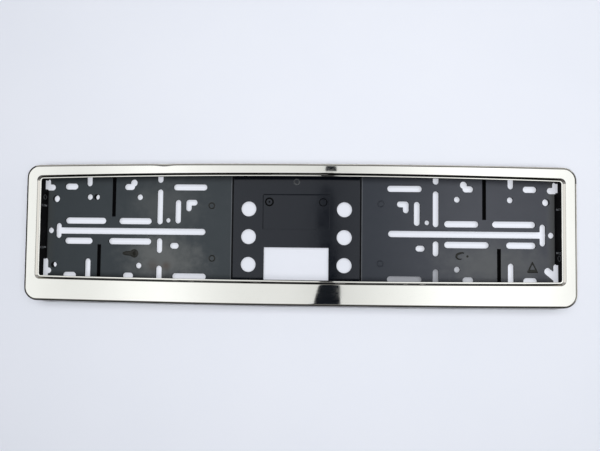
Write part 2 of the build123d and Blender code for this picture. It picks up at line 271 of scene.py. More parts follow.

# Mould edges are a quarter of a millimetre round, and painted paler there as a highlight
MOULD_EDGE = 0.25
round_edge = add_node(tree, "ShaderNodeBevel", {"samples": 6}, {"Radius": MOULD_EDGE * MM})
true_face = add_node(tree, "ShaderNodeNewGeometry", {}, {})
facing = add_node(
    tree,
    "ShaderNodeVectorMath",
    {"operation": "DOT_PRODUCT"},
    {0: round_edge.outputs["Normal"], 1: true_face.outputs["True Normal"]},
)
edge_highlight = add_node(
    tree,
    "ShaderNodeMapRange",
    {},
    {"Value": facing.outputs["Value"], "From Min": 0.98, "From Max": 0.75, "To Max": 0.35},
)
highlighted_colour = add_node(
    tree,
    "ShaderNodeMix",
    {"data_type": "RGBA"},
    {0: edge_highlight.outputs["Result"], 6: colour.outputs[2], 7: linear(PLASTIC_EDGE_HIGHLIGHT)},
)

# Painted highlight: the edge over the middle panel is painted pale
PANEL_HIGHLIGHT_HALF_WIDTH = 0.4
panel_edge_highlight = add_node(
    tree,
    "ShaderNodeMath",
    {"operation": "COMPARE"},
    {0: aside.outputs[0], 1: PANEL_HALF_LENGTH * MM, 2: PANEL_HIGHLIGHT_HALF_WIDTH * MM},
)
highlighted_colour = add_node(
    tree,
    "ShaderNodeMix",
    {"data_type": "RGBA"},
    {0: panel_edge_highlight.outputs[0], 6: highlighted_colour.outputs[2], 7: linear(PLASTIC_EDGE_HIGHLIGHT)},
)

# Painted shade: the grooves, the sides of the panel, the foot of the end walls and every upright face are
# painted dead black and made duller. Each place is a middle and a half width along X, and the heights
# between.
shade_and_dull = None
for dark_x, half_width, bottom, top in (
    (184.2, 1.9, 0.0, 4.5),
    (198.4, 1.9, 0.0, 4.5),
    (63.8, 0.8, 3.6, 4.95),
    (252.7, 0.9, 4.9, 5.1),
):
    shade_band = band(tree, aside.outputs[0], dark_x, half_width, axes.outputs["Z"], bottom, top)
    shade_and_dull = add_node(
        tree,
        "ShaderNodeMath",
        {"operation": "ADD"},
        {0: shade_band.outputs[0], 1: shade_and_dull.outputs[0] if shade_and_dull else 0.0},
    )
facing_axes = add_node(tree, "ShaderNodeSeparateXYZ", {}, {"Vector": true_face.outputs["True Normal"]})
level_face = add_node(tree, "ShaderNodeMath", {"operation": "ABSOLUTE"}, {0: facing_axes.outputs["Z"]})
upright = add_node(
    tree,
    "ShaderNodeMapRange",
    {},
    {"Value": level_face.outputs[0], "From Min": 0.6, "From Max": 0.3},
)
shade_and_dull = add_node(
    tree,
    "ShaderNodeMath",
    {"operation": "ADD", "use_clamp": True},
    {0: shade_and_dull.outputs[0], 1: upright.outputs["Result"]},
)
shaded_skin_colour = add_node(
    tree,
    "ShaderNodeMix",
    {"data_type": "RGBA"},
    {0: shade_and_dull.outputs[0], 6: highlighted_colour.outputs[2], 7: linear(PLASTIC_PAINTED_SHADE)},
)

# The slits beside the spring tongue in each end wall have painted light along their edges: pale lines
SLIT_OFFSET, SLIT_HALF_WIDTH = 21.0, 0.9
WALL_FROM_X = END_WALL_X - 0.3
slit_offset = add_node(
    tree,
    "ShaderNodeMath",
    {"operation": "SUBTRACT"},
    {0: axes.outputs["Y"], 1: PLATE_Y * MM},
)
slit_place = add_node(tree, "ShaderNodeMath", {"operation": "ABSOLUTE"}, {0: slit_offset.outputs[0]})
at_slit = add_node(
    tree,
    "ShaderNodeMath",
    {"operation": "COMPARE"},
    {0: slit_place.outputs[0], 1: SLIT_OFFSET * MM, 2: SLIT_HALF_WIDTH * MM},
)
at_wall = add_node(
    tree,
    "ShaderNodeMath",
    {"operation": "GREATER_THAN"},
    {0: aside.outputs[0], 1: WALL_FROM_X * MM},
)
slit_light = add_node(
    tree,
    "ShaderNodeMath",
    {"operation": "MULTIPLY"},
    {0: at_slit.outputs[0], 1: at_wall.outputs[0]},
)
shaded_skin_colour = add_node(
    tree,
    "ShaderNodeMix",
    {"data_type": "RGBA"},
    {0: slit_light.outputs[0], 6: shaded_skin_colour.outputs[2], 7: linear(PLASTIC_SLIT_LIGHT)},
)

# Clouds vary the gloss; handling and the places of painted shade dull it
HANDLED_DULLS, SHADE_DULLS = 0.32, 0.6
gloss = add_node(
    tree,
    "ShaderNodeMapRange",
    {},
    {"Value": cloud.outputs["Fac"], "From Min": 0.3, "From Max": 0.7, "To Min": 0.1, "To Max": 0.16},
)
handled_gloss = add_node(
    tree,
    "ShaderNodeMath",
    {"operation": "MULTIPLY_ADD"},
    {0: handled.outputs["Result"], 1: HANDLED_DULLS, 2: gloss.outputs["Result"]},
)
dulled_gloss = add_node(
    tree,
    "ShaderNodeMath",
    {"operation": "MULTIPLY_ADD", "use_clamp": True},
    {0: shade_and_dull.outputs[0], 1: SHADE_DULLS, 2: handled_gloss.outputs[0]},
)

# The floor has sunk a little where it cooled last, and the grain lies over that
SINK_DEPTH, GRAIN_DEPTH = 2.0, 0.05
sunk = add_node(
    tree,
    "ShaderNodeBump",
    {},
    {
        "Height": flow.outputs["Fac"],
        "Strength": 0.25,
        "Distance": SINK_DEPTH * MM,
        "Normal": round_edge.outputs["Normal"],
    },
)
skin = add_node(
    tree,
    "ShaderNodeBump",
    {},
    {
        "Height": grain.outputs["Fac"],
        "Strength": 0.12,
        "Distance": GRAIN_DEPTH * MM,
        "Normal": sunk.outputs["Normal"],
    },
)
plastic = add_node(
    tree,
    "ShaderNodeBsdfPrincipled",
    {},
    {
        "Base Color": shaded_skin_colour.outputs[2],
        "Roughness": dulled_gloss.outputs[0],
        "IOR": 1.5,
        "Normal": skin.outputs["Normal"],
    },
)
add_node(tree, "ShaderNodeOutputMaterial", {}, {"Surface": plastic.outputs["BSDF"]})

base_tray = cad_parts["base_tray"]
base_tray.data.materials.clear()
base_tray.data.materials.append(moulded_polypropylene)

# Marks of the mould on the tray: ridges round the ejector pins, the slopes of the raised pad, the stubs
# where the plastic was let in, and a plain raised triangle. All belong to the same polypropylene moulding.
PANEL_Z = 3.5
PAD_Z = 3.9
MARK_DARK, MARK_PALE = "#10100e", "#26261f"
BLACK_DARK, BLACK_PALE = "#020203", "#0a0a09"
SCUFFED_DARK, SCUFFED_PALE = "#2e2f30", "#55575a"


def pressed_plastic(name, dark, pale, ior):
    """Polypropylene that a pin or a gate pressed on: dull, with small clouds between two colours."""
    material, tree = bare_material(name)
    speckle_size, pit_depth = 1.5, 0.1
    place = add_node(tree, "ShaderNodeTexCoord", {}, {}).outputs["Object"]
    speckle = add_node(
        tree,
        "ShaderNodeTexNoise",
        {},
        {"Vector": place, "Scale": 1 / (speckle_size * MM), "Detail": 3.0, "Roughness": 0.6},
    )
    mark_colour = add_node(
        tree,
        "ShaderNodeMix",
        {"data_type": "RGBA"},
        {0: speckle.outputs["Fac"], 6: linear(dark), 7: linear(pale)},
    )
    mark_gloss = add_node(
        tree,
        "ShaderNodeMapRange",
        {},
        {"Value": speckle.outputs["Fac"], "From Min": 0.3, "From Max": 0.7, "To Min": 0.35, "To Max": 0.55},
    )
    pits = add_node(
        tree,
        "ShaderNodeBump",
        {},
        {"Height": speckle.outputs["Fac"], "Strength": 0.2, "Distance": pit_depth * MM},
    )
    pressed = add_node(
        tree,
        "ShaderNodeBsdfPrincipled",
        {},
        {
            "Base Color": mark_colour.outputs[2],
            "Roughness": mark_gloss.outputs["Result"],
            "IOR": ior,
            "Normal": pits.outputs["Normal"],
        },
    )
    add_node(tree, "ShaderNodeOutputMaterial", {}, {"Surface": pressed.outputs["BSDF"]})
    return material


# Pressed on by a pin or a gate, the plastic is duller and blacker than the skin round it. Where the mould
# was hot it mirrors next to nothing, and a few marks are scuffed pale.
pressed_dull = pressed_plastic("polypropylene_pressed_dull", MARK_DARK, MARK_PALE, 1.45)
pressed_black = pressed_plastic("polypropylene_pressed_black", BLACK_DARK, BLACK_PALE, 1.15)
pressed_scuffed = pressed_plastic("polypropylene_pressed_scuffed", SCUFFED_DARK, SCUFFED_PALE, 1.45)


def add_piece(name, mesh, material):
    """Make a piece of the object from a bmesh, with its finish, riding on the holder."""
    bmesh.ops.recalc_face_normals(mesh, faces=mesh.faces)
    data = bpy.data.meshes.new(name)
    mesh.to_mesh(data)
    mesh.free()
    data.shade_smooth()
    data.materials.append(material)
    piece = bpy.data.objects.new(name, data)
    bpy.context.scene.collection.objects.link(piece)
    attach(piece, "root")
    return piece


def bridge(mesh, first, second):
    """Skin the space between two closed loops of as many vertices."""
    count = len(first)
    for i in range(count):
        j = (i + 1) % count
        mesh.faces.new((first[i], first[j], second[j], second[i]))


def raised_mark(name, rings, crown=None, finish=pressed_dull):
    """Low mark on the tray: closed rings of points, joined in turn, and a crown over the last if given."""
    mesh = bmesh.new()
    loops = [[mesh.verts.new(Vector(point) * MM) for point in ring] for ring in rings]
    for first, second in zip(loops, loops[1:]):
        bridge(mesh, first, second)
    if crown:
        top = mesh.verts.new(Vector(crown) * MM)
        last = loops[-1]
        for i, vertex in enumerate(last):
            mesh.faces.new((vertex, last[(i + 1) % len(last)], top))
    return add_piece(name, mesh, finish)


def circle(x, y, z, radius, steps=48):
    """Points of a level circle."""
    angles = [2 * pi * i / steps for i in range(steps)]
    return [(x + radius * cos(angle), y + radius * sin(angle), z) for angle in angles]


def ridge_ring(name, x, y, z, diameter, width, height, finish, end=0):
    """Rounded ridge round a pin's end, on a level face or, given its side, on an end wall."""
    angles = (pi, 0.75 * pi, 0.5 * pi, 0.25 * pi, 0.0)
    profile = [(cos(angle) * width / 2, sin(angle) * height) for angle in angles]
    rings = [circle(x, y, z + rise, diameter / 2 + shift) for shift, rise in profile]
    if end:
        rings = [[(x - end * (pz - z), py, z + px - x) for px, py, pz in ring] for ring in rings]
    return raised_mark(name, rings, finish=finish)


# Ridges on the floor, the pad and the panel: place, diameter, the ridge's width and height, and finish
PIN_DIAMETER, RIDGE_WIDTH, RIDGE_HEIGHT = 5.6, 1.2, 0.4
PAD_MARK_X, PAD_MARK_Y = -27.2, 34.0
for name, x, y, z, diameter, width, height, finish in (
    ("pin_mark_1", -84.9, 29.6, FLOOR_Z, PIN_DIAMETER, RIDGE_WIDTH, RIDGE_HEIGHT, pressed_dull),
    ("pin_mark_2", -83.9, -23.0, FLOOR_Z, PIN_DIAMETER, RIDGE_WIDTH, RIDGE_HEIGHT, pressed_dull),
    ("pin_mark_3", 83.6, 32.7, FLOOR_Z, PIN_DIAMETER, RIDGE_WIDTH, RIDGE_HEIGHT, moulded_polypropylene),
    ("pin_mark_4", 83.0, -26.2, FLOOR_Z, PIN_DIAMETER, RIDGE_WIDTH, RIDGE_HEIGHT, moulded_polypropylene),
    ("pad_mark_left", PAD_MARK_X, PAD_MARK_Y, PAD_Z, 7.4, 1.5, 0.5, pressed_black),
    ("pad_mark_right", 26.6, PAD_MARK_Y, PAD_Z, 7.4, 0.8, 0.3, pressed_black),
    ("panel_mark", 0.0, 54.3, PANEL_Z, 5.2, 1.6, 0.35, pressed_scuffed),
):
    ridge_ring(name, x, y, z, diameter, width, height, finish)

# Ridges on the end walls: side, place along Y and Z, and diameter
for name, end, y, z, diameter in (
    ("wall_mark_left", -1, 36.7, 8.0, 4.4),
    ("wall_mark_right", 1, -18.9, 10.0, 5.0),
):
    x = end * END_WALL_X
    ridge_ring(name, x, y, z, diameter, RIDGE_WIDTH, RIDGE_HEIGHT, pressed_scuffed, end)

# Dot in the middle of the left mark on the pad: height and radius of each ring
DOT_TOP = PAD_Z + 0.32
DOT_RINGS = ((0.0, 0.9), (0.22, 0.75), (0.3, 0.4))
raised_mark(
    "pad_mark_dot",
    [circle(PAD_MARK_X, PAD_MARK_Y, PAD_Z + rise, radius) for rise, radius in DOT_RINGS],
    (PAD_MARK_X, PAD_MARK_Y, DOT_TOP),
    pressed_black,
)

# The raised pad over the window slopes down to the panel above and on the left
PAD_HALF_LENGTH, PAD_TOP, PAD_BOTTOM = 33.2, 40.8, 6.8
PAD_SLOPE_TOP, PAD_SLOPE_LEFT, PAD_CREST = 1.2, 0.7, 0.02


def rectangle(left, right, bottom, top, z):
    """Corners of a level rectangle."""
    return [(left, bottom, z), (right, bottom, z), (right, top, z), (left, top, z)]


raised_mark(
    "pad_slope_top",
    [
        rectangle(-PAD_HALF_LENGTH, PAD_HALF_LENGTH, PAD_TOP, PAD_TOP + PAD_SLOPE_TOP, PANEL_Z),
        rectangle(-PAD_HALF_LENGTH, PAD_HALF_LENGTH, PAD_TOP, PAD_TOP + PAD_CREST, PAD_Z),
    ],
    finish=moulded_polypropylene,
)
raised_mark(
    "pad_slope_left",
    [
        rectangle(-PAD_HALF_LENGTH - PAD_SLOPE_LEFT, -PAD_HALF_LENGTH, PAD_BOTTOM, PAD_TOP, PANEL_Z),
        rectangle(-PAD_HALF_LENGTH - PAD_CREST, -PAD_HALF_LENGTH, PAD_BOTTOM, PAD_TOP, PAD_Z),
    ],
    finish=moulded_polypropylene,
)

# Left gate: a round stub with a tail, and a pit in the middle where it broke off
GATE_X, GATE_Y, GATE_RADIUS = -162.5, -19.0, 4.2
GATE_TAIL, GATE_TAIL_TURN = 8.0, 0.32
GATE_STEPS = 64


def gate_ring(scale, z):
    """Outline of the left gate's stub: round, with a tail that points away from the middle."""
    points = []
    for i in range(GATE_STEPS):
        angle = 2 * pi * i / GATE_STEPS
        turn = min(angle, 2 * pi - angle)
        reach = scale * (GATE_RADIUS + GATE_TAIL * exp(-((turn / GATE_TAIL_TURN) ** 2)))
        points.append((GATE_X - reach * cos(angle), GATE_Y + reach * sin(angle), z))
    return points


raised_mark(
    "gate_left",
    [
        gate_ring(1.0, FLOOR_Z),
        gate_ring(0.84, FLOOR_Z + 0.4),
        gate_ring(0.6, FLOOR_Z + 0.45),
        circle(GATE_X, GATE_Y, FLOOR_Z + 0.4, 2.0, GATE_STEPS),
        circle(GATE_X, GATE_Y, FLOOR_Z + 0.1, 1.5, GATE_STEPS),
    ],
    (GATE_X, GATE_Y, FLOOR_Z + 0.05),
)

# Right gate: a curl of plastic that was left when the stub was torn off, and a drop beside it. Each ring of
# the curl is a half width and a height.
CURL_X, CURL_Y, CURL_RADIUS = 160.6, -18.1, 3.3
CURL_START, CURL_TURN = 0.22 * pi, 1.5 * pi
CURL_HOOK, CURL_HOOK_PART, CURL_SQUASH = 2.0, 0.12, 0.85
CURL_THICK, CURL_THINNING, CURL_BLUNT = 1.5, 0.9, 0.04
CURL_STEPS = 40
CURL_RINGS = ((0.95, 0.0), (0.75, 0.35), (0.4, 0.5), (0.02, 0.55))
DROP_X, DROP_Y = 168.0, -18.0


def curl_ring(half_width, z):
    """Outline round the curl: it starts thick with a hook outwards, and thins to its end."""
    outer, inner = [], []
    for i in range(CURL_STEPS):
        part = i / (CURL_STEPS - 1)
        angle = CURL_START + CURL_TURN * part
        radius = CURL_RADIUS + CURL_HOOK * exp(-((part / CURL_HOOK_PART) ** 2))
        rounding = sqrt(max(1 - (2 * part - 1) ** 8, CURL_BLUNT))
        width = half_width * (CURL_THICK - CURL_THINNING * part) * rounding
        for line, reach in ((outer, radius + width), (inner, radius - width)):
            line.append((CURL_X + reach * cos(angle), CURL_Y + CURL_SQUASH * reach * sin(angle), z))
    return outer + inner[::-1]


raised_mark("gate_right", [curl_ring(half_width, FLOOR_Z + rise) for half_width, rise in CURL_RINGS])
raised_mark(
    "gate_drop",
    [circle(DROP_X, DROP_Y, FLOOR_Z, 1.1), circle(DROP_X, DROP_Y, FLOOR_Z + 0.25, 0.8)],
    (DROP_X, DROP_Y, FLOOR_Z + 0.3),
)

# Plain triangle in raised outline: how far each ring is drawn in, and its height
TRIANGLE_X, TRIANGLE_Y = 230.5, -27.6
TRIANGLE_HALF_BASE, TRIANGLE_HEIGHT, TRIANGLE_CUT = 5.6, 11.4, 0.8
TRIANGLE_RINGS = ((0.0, 0.0), (0.1, 0.4), (0.3, 0.4), (0.55, 0.0))


def triangle(inset, z):
    """Points of the triangle with its corners cut, drawn in by a share of its size."""
    low_y, high_y = -TRIANGLE_HEIGHT / 2, TRIANGLE_HEIGHT / 2
    corners = [(-TRIANGLE_HALF_BASE, low_y), (TRIANGLE_HALF_BASE, low_y), (0.0, high_y)]
    points = []
    for i, corner in enumerate(corners):
        for neighbour in (corners[i - 1], corners[(i + 1) % 3]):
            cut = TRIANGLE_CUT / hypot(neighbour[0] - corner[0], neighbour[1] - corner[1])
            x = corner[0] + (neighbour[0] - corner[0]) * cut
            y = corner[1] + (neighbour[1] - corner[1]) * cut
            points.append((TRIANGLE_X + x * (1 - inset), TRIANGLE_Y + y * (1 - inset), z))
    return points


raised_mark("triangle_mark", [triangle(inset, FLOOR_Z + rise) for inset, rise in TRIANGLE_RINGS])

# Cover frame: one sheet of stainless steel, pressed into a face, a stepped lip that holds the plate and
# a bent outer wall, mirror polished, and held by tabs folded in under the tray's wall. The long edges
# bow outwards. The upper edge has a small dent, and the lower wall isn't quite straight.
STEEL_TONE = "#fdf8ea"
STEEL_SMEARED = "#f5f0e1"
STEEL_WALL_GREY = "#a5a39d"
STEEL_GRAZED = "#9a9996"
STEEL_PAINTED_DARK = "#4e4c49"
low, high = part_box("cover_frame")
SHEET = 0.6
FACE_Z = high.z / MM
FOOT_Z = low.z / MM
BEND = 2.4
FLARE_SIDE, FLARE_TOP, FLARE_BOTTOM = 0.4, 0.4, 3.8
CROWN_TOP, CROWN_BOTTOM = 2.7, 1.6
CORNER = 12.8
PLATE_HALF_LENGTH, PLATE_HALF_HEIGHT = 260.0, 56.0
HALF_LENGTH = high.x / MM - FLARE_SIDE
TOP = high.y / MM - PLATE_Y - CROWN_TOP - FLARE_TOP
BOTTOM = -low.y / MM + PLATE_Y - CROWN_BOTTOM - FLARE_BOTTOM
OVERLAP_SIDE, OVERLAP_TOP, OVERLAP_BOTTOM = 7.8, 9.1, 7.7
LIP_CROWN_TOP, LIP_CROWN_BOTTOM = 4.0, 1.9
LIP_CORNER = 2.2
LIP_WIDTH = 0.9
LOWER_LIP = 0.5
STEP_HEIGHT, STEP_RUN, STEP_BEND = 2.4, 1.8, 0.6
LIP_Z = FACE_Z - STEP_HEIGHT
SHOULDER_Z = FACE_Z - 2 * BEND
LONG_PARTS, SIDE_PARTS, CORNER_PARTS = 200, 40, 14
BEND_PARTS, STEP_PARTS, UNDER_PARTS = 8, 5, 4
DENT_X, DENT_DEPTH, DENT_SPREAD, DENT_LEAST = -129.0, 1.0, 6.5, 0.2
DENT_FOOT_Z = FACE_Z - 2.6
BULGE_X, BULGE_DEPTH, BULGE_SPREAD = -70.0, 0.35, 90.0
LONG_WAVE, LONG_WAVE_RUN = 0.1, 27.0
SHORT_WAVE, SHORT_WAVE_RUN = 0.06, 9.5


def bowed_half(half_length, edge, bow, radius):
    """Right corner, bowed upper edge and left corner of a rectangle, as points from right to left."""
    slope = atan(2 * bow * (half_length - radius) / half_length**2)
    centre_x = half_length - radius
    touch_x = centre_x + radius * sin(slope)
    centre_y = edge + bow * (1 - (touch_x / half_length) ** 2) - radius * cos(slope)
    corner = []
    for i in range(CORNER_PARTS + 1):
        angle = (pi / 2 - slope) * i / CORNER_PARTS
        corner.append((centre_x + radius * cos(angle), centre_y + radius * sin(angle)))
    run = []
    for i in range(1, LONG_PARTS):
        x = touch_x * (1 - 2 * i / LONG_PARTS)
        run.append((x, edge + bow * (1 - (x / half_length) ** 2)))
    return corner + run + [(-x, y) for x, y in reversed(corner)]


def bowed_outline(half_length, top, bottom, bow_top, bow_bottom, radius):
    """Closed outline of a rectangle with rounded corners and bowed long edges, about the plate's centre."""
    upper = bowed_half(half_length, top, bow_top, radius)
    lower = [(-x, -y) for x, y in bowed_half(half_length, bottom, bow_bottom, radius)]
    sides = []
    for start, end in ((upper[-1], lower[0]), (lower[-1], upper[0])):
        parts = [i / SIDE_PARTS for i in range(1, SIDE_PARTS)]
        sides.append([(start[0], start[1] + (end[1] - start[1]) * part) for part in parts])
    return upper + sides[0] + lower + sides[1]


def wall_loop(inset, z):
    """Outline of the outer wall at a height, drawn in by an inset, with its dent, bulge and waves."""
    spread = max(SHOULDER_Z - z, 0.0) / (SHOULDER_Z - FOOT_Z)
    outline = bowed_outline(
        HALF_LENGTH + spread * FLARE_SIDE - inset,
        TOP + spread * FLARE_TOP - inset,
        BOTTOM + spread * FLARE_BOTTOM - inset,
        CROWN_TOP,
        CROWN_BOTTOM,
        CORNER - inset,
    )
    dent = DENT_DEPTH * min(max((z - DENT_FOOT_Z) / (FACE_Z - DENT_FOOT_Z), DENT_LEAST), 1.0)
    bulge = BULGE_DEPTH * (1 - spread)
    loop = []
    for x, y in outline:
        if y > PLATE_HALF_HEIGHT - OVERLAP_TOP:
            y -= dent * exp(-(((x - DENT_X) / DENT_SPREAD) ** 2))
        if y < OVERLAP_BOTTOM - PLATE_HALF_HEIGHT:
            y -= bulge * exp(-(((x - BULGE_X) / BULGE_SPREAD) ** 2))
            y += spread * LONG_WAVE * (1 + sin(x / LONG_WAVE_RUN))
            y += spread * SHORT_WAVE * (1 + sin(x / SHORT_WAVE_RUN + 1))
        loop.append((x, y + PLATE_Y, z))
    return loop


def lip_loop(widen, z):
    """Outline of the opening that the lip leaves, spread outwards; the lip is wider below."""
    lower = widen + LOWER_LIP * min(widen / LIP_WIDTH, 1.0)
    outline = bowed_outline(
        PLATE_HALF_LENGTH - OVERLAP_SIDE + widen,
        PLATE_HALF_HEIGHT - OVERLAP_TOP + widen,
        PLATE_HALF_HEIGHT - OVERLAP_BOTTOM + lower,
        LIP_CROWN_TOP,
        LIP_CROWN_BOTTOM,
        LIP_CORNER + widen,
    )
    return [(x, y + PLATE_Y, z) for x, y in outline]


def between(first, second, part):
    """Loop part of the way from one loop to another."""
    return [tuple(Vector(a).lerp(Vector(b), part)) for a, b in zip(first, second)]


step_angle = atan2(STEP_HEIGHT, STEP_RUN)
step_shift = SHEET * tan(step_angle / 2)
brim = LIP_WIDTH + STEP_RUN
bend_reach = STEP_BEND * tan(step_angle / 2)

# Outer skin from the wall's foot over the bend, the face and the step to the lip
FOOT_RISE, FOOT_ROUND, FACE_MARGIN = 0.3, 0.1, 0.2
FACE_SHARES = (0.03, 0.35, 0.65, 0.97)
wall_skin = [wall_loop(0.0, z) for z in (FOOT_Z, FOOT_Z + FOOT_RISE, SHOULDER_Z)]
bend_skin = []
for i in range(BEND_PARTS + 1):
    angle = pi / 2 * i / BEND_PARTS
    bend_skin.append(wall_loop(BEND * (1 - cos(angle)), FACE_Z - BEND + BEND * sin(angle)))
step_skin = []
for i in range(STEP_PARTS + 1):
    angle = step_angle * i / STEP_PARTS
    widen = brim + bend_reach - STEP_BEND * sin(angle)
    step_skin.append(lip_loop(widen, FACE_Z - STEP_BEND * (1 - cos(angle))))
face_edge = wall_loop(BEND, FACE_Z)
face_skin = [between(face_edge, step_skin[0], part) for part in FACE_SHARES]

# Lip from the foot of the step to its rounded free edge: how far each loop is spread, and its height
LIP_PROFILE = (
    (LIP_WIDTH + 0.25, LIP_Z + 0.25 * tan(step_angle)),
    (LIP_WIDTH + 0.08, LIP_Z + 0.06),
    (LIP_WIDTH - 0.2, LIP_Z),
    (0.2, LIP_Z),
    (0.06, LIP_Z - 0.06),
    (0.0, LIP_Z - 0.2),
    (0.0, LIP_Z - SHEET + 0.15),
    (0.1, LIP_Z - SHEET),
)
lip_skin = [lip_loop(widen, z) for widen, z in LIP_PROFILE]

# Inner skin back along the underside of the step and the face, and down the wall
INNER_BEND = BEND - SHEET
under_skin = [
    lip_loop(LIP_WIDTH + step_shift, LIP_Z - SHEET),
    lip_loop(brim + step_shift, FACE_Z - SHEET),
    wall_loop(BEND + FACE_MARGIN, FACE_Z - SHEET),
]
for i in range(UNDER_PARTS + 1):
    angle = pi / 2 * (1 - i / UNDER_PARTS)
    under_skin.append(wall_loop(BEND - INNER_BEND * cos(angle), FACE_Z - BEND + INNER_BEND * sin(angle)))
under_skin.append(wall_loop(SHEET, SHOULDER_Z))
under_skin.append(wall_loop(SHEET, FOOT_Z + FOOT_ROUND))
under_skin.append(wall_loop(SHEET - FOOT_ROUND, FOOT_Z))
cover_loops = wall_skin + bend_skin + face_skin + step_skin + lip_skin + under_skin

cover_mesh = bmesh.new()
cover_rows = [[cover_mesh.verts.new(Vector(point) * MM) for point in loop] for loop in cover_loops]
for first, second in zip(cover_rows, cover_rows[1:] + cover_rows[:1]):
    bridge(cover_mesh, first, second)

# Tabs folded in at the wall's foot, with their corners rounded. Each station is a share of the half width
# and how much shorter the tab is there. The profile runs inwards from the wall and round the sheet.
TAB_HALF_WIDTH, TAB_REACH, TAB_PITCH, TAB_COUNT = 4.5, 5.3, 112.0, 5
TAB_STATIONS = ((-1.0, 1.2), (-0.93, 0.35), (-0.75, 0.0), (0.75, 0.0), (0.93, 0.35), (1.0, 1.2))
TAB_EDGE = 0.15
foot_loop = wall_loop(0.0, FOOT_Z)
for k in range(TAB_COUNT):
    tab_x = (k - (TAB_COUNT - 1) / 2) * TAB_PITCH
    for upward in (True, False):
        edge = [point for point in foot_loop if (point[1] > PLATE_Y) == upward]
        foot_y = min(edge, key=lambda point: abs(point[0] - tab_x))[1]
        inward = -1 if upward else 1
        rows = []
        for share, short in TAB_STATIONS:
            reach = TAB_REACH - short
            profile = [(0.35, SHEET), (0.4, 0.35), (0.55, 0.1), (0.8, 0.0)]
            profile += [(reach - TAB_EDGE, 0.0), (reach, TAB_EDGE)]
            profile += [(reach, SHEET - TAB_EDGE), (reach - TAB_EDGE, SHEET)]
            x = tab_x + share * TAB_HALF_WIDTH
            points = [(x, foot_y + inward * run, FOOT_Z + rise) for run, rise in profile]
            rows.append([cover_mesh.verts.new(Vector(point) * MM) for point in points])
        for first, second in zip(rows, rows[1:]):
            bridge(cover_mesh, first, second)
        cover_mesh.faces.new(rows[0])
        cover_mesh.faces.new(rows[-1])

# Mirror-polished stainless steel shows the room almost as a glass does, a little warm. The polishing
# belt leaves lines along the bars, hands leave faint dull patches, and the pressed sheet isn't dead flat.
polished_stainless, tree = bare_material("stainless_steel_mirror_polished")
place = add_node(tree, "ShaderNodeTexCoord", {}, {}).outputs["Object"]
axes = add_node(tree, "ShaderNodeSeparateXYZ", {}, {"Vector": place})
# Belt lines are far finer than a pixel; they are drawn 0.4 mm apart and 60 mm long
BELT_PITCH, BELT_RUN = 0.4, 60.0
belt_place = add_node(
    tree,
    "ShaderNodeMapping",
    {},
    {"Vector": place, "Scale": (1 / (BELT_RUN * MM), 1 / (BELT_PITCH * MM), 1 / (BELT_PITCH * MM))},
)
belt = add_node(
    tree,
    "ShaderNodeTexNoise",
    {},
    {"Vector": belt_place.outputs[0], "Scale": 1.0, "Detail": 2.0},
)
SMEAR_SIZE, BUCKLE_SIZE = 38.0, 90.0
smear = add_node(
    tree,
    "ShaderNodeTexNoise",
    {},
    {"Vector": place, "Scale": 1 / (SMEAR_SIZE * MM), "Detail": 5.0, "Roughness": 0.6},
)
warp = add_node(
    tree,
    "ShaderNodeTexNoise",
    {},
    {"Vector": place, "Scale": 1 / (BUCKLE_SIZE * MM), "Detail": 1.0, "Roughness": 0.4},
)
dulled = add_node(
    tree,
    "ShaderNodeMapRange",
    {},
    {"Value": smear.outputs["Fac"], "From Min": 0.45, "From Max": 0.75, "To Min": 0.03, "To Max": 0.07},
)
tone = add_node(
    tree,
    "ShaderNodeMix",
    {"data_type": "RGBA"},
    {0: smear.outputs["Fac"], 6: linear(STEEL_TONE), 7: linear(STEEL_SMEARED)},
)

# Painted dark reflection: the bend along the left end and the lower edge, and the upper step, are painted
# dark.
# Each place: an axis with a middle and a half width along it, the heights between, and how dark it is.
painted_dark_reflection = None
for axis, middle, half_width, bottom, top, strength in (
    ("X", -262.0, 5.0, 17.4, 19.66, 1.0),
    ("Y", -66.0, 8.0, 17.2, 19.45, 1.0),
    ("Y", 57.5, 5.5, 17.4, 19.67, 0.75),
):
    line = band(tree, axes.outputs[axis], middle, half_width, axes.outputs["Z"], bottom, top)
    spot = add_node(tree, "ShaderNodeMath", {"operation": "MULTIPLY"}, {0: line.outputs[0], 1: strength})
    painted_dark_reflection = add_node(
        tree,
        "ShaderNodeMath",
        {"operation": "MAXIMUM"},
        {0: spot.outputs[0], 1: painted_dark_reflection.outputs[0] if painted_dark_reflection else 0.0},
    )
tone = add_node(
    tree,
    "ShaderNodeMix",
    {"data_type": "RGBA"},
    {0: painted_dark_reflection.outputs[0], 6: tone.outputs[2], 7: linear(STEEL_PAINTED_DARK)},
)

# The wall below the bend is greyer
WALL_GREY_FROM_Z, GREY_Z = 17.15, 16.5
greyer_wall = add_node(
    tree,
    "ShaderNodeMapRange",
    {},
    {"Value": axes.outputs["Z"], "From Min": WALL_GREY_FROM_Z * MM, "From Max": GREY_Z * MM},
)
tone = add_node(
    tree,
    "ShaderNodeMix",
    {"data_type": "RGBA"},
    {0: greyer_wall.outputs["Result"], 6: tone.outputs[2], 7: linear(STEEL_WALL_GREY)},
)
BUCKLE_DEPTH, BELT_DEPTH = 1.2, 0.02
buckle = add_node(
    tree,
    "ShaderNodeBump",
    {},
    {"Height": warp.outputs["Fac"], "Strength": 0.1, "Distance": BUCKLE_DEPTH * MM},
)
lines = add_node(
    tree,
    "ShaderNodeBump",
    {},
    {
        "Height": belt.outputs["Fac"],
        "Strength": 0.03,
        "Distance": BELT_DEPTH * MM,
        "Normal": buckle.outputs["Normal"],
    },
)
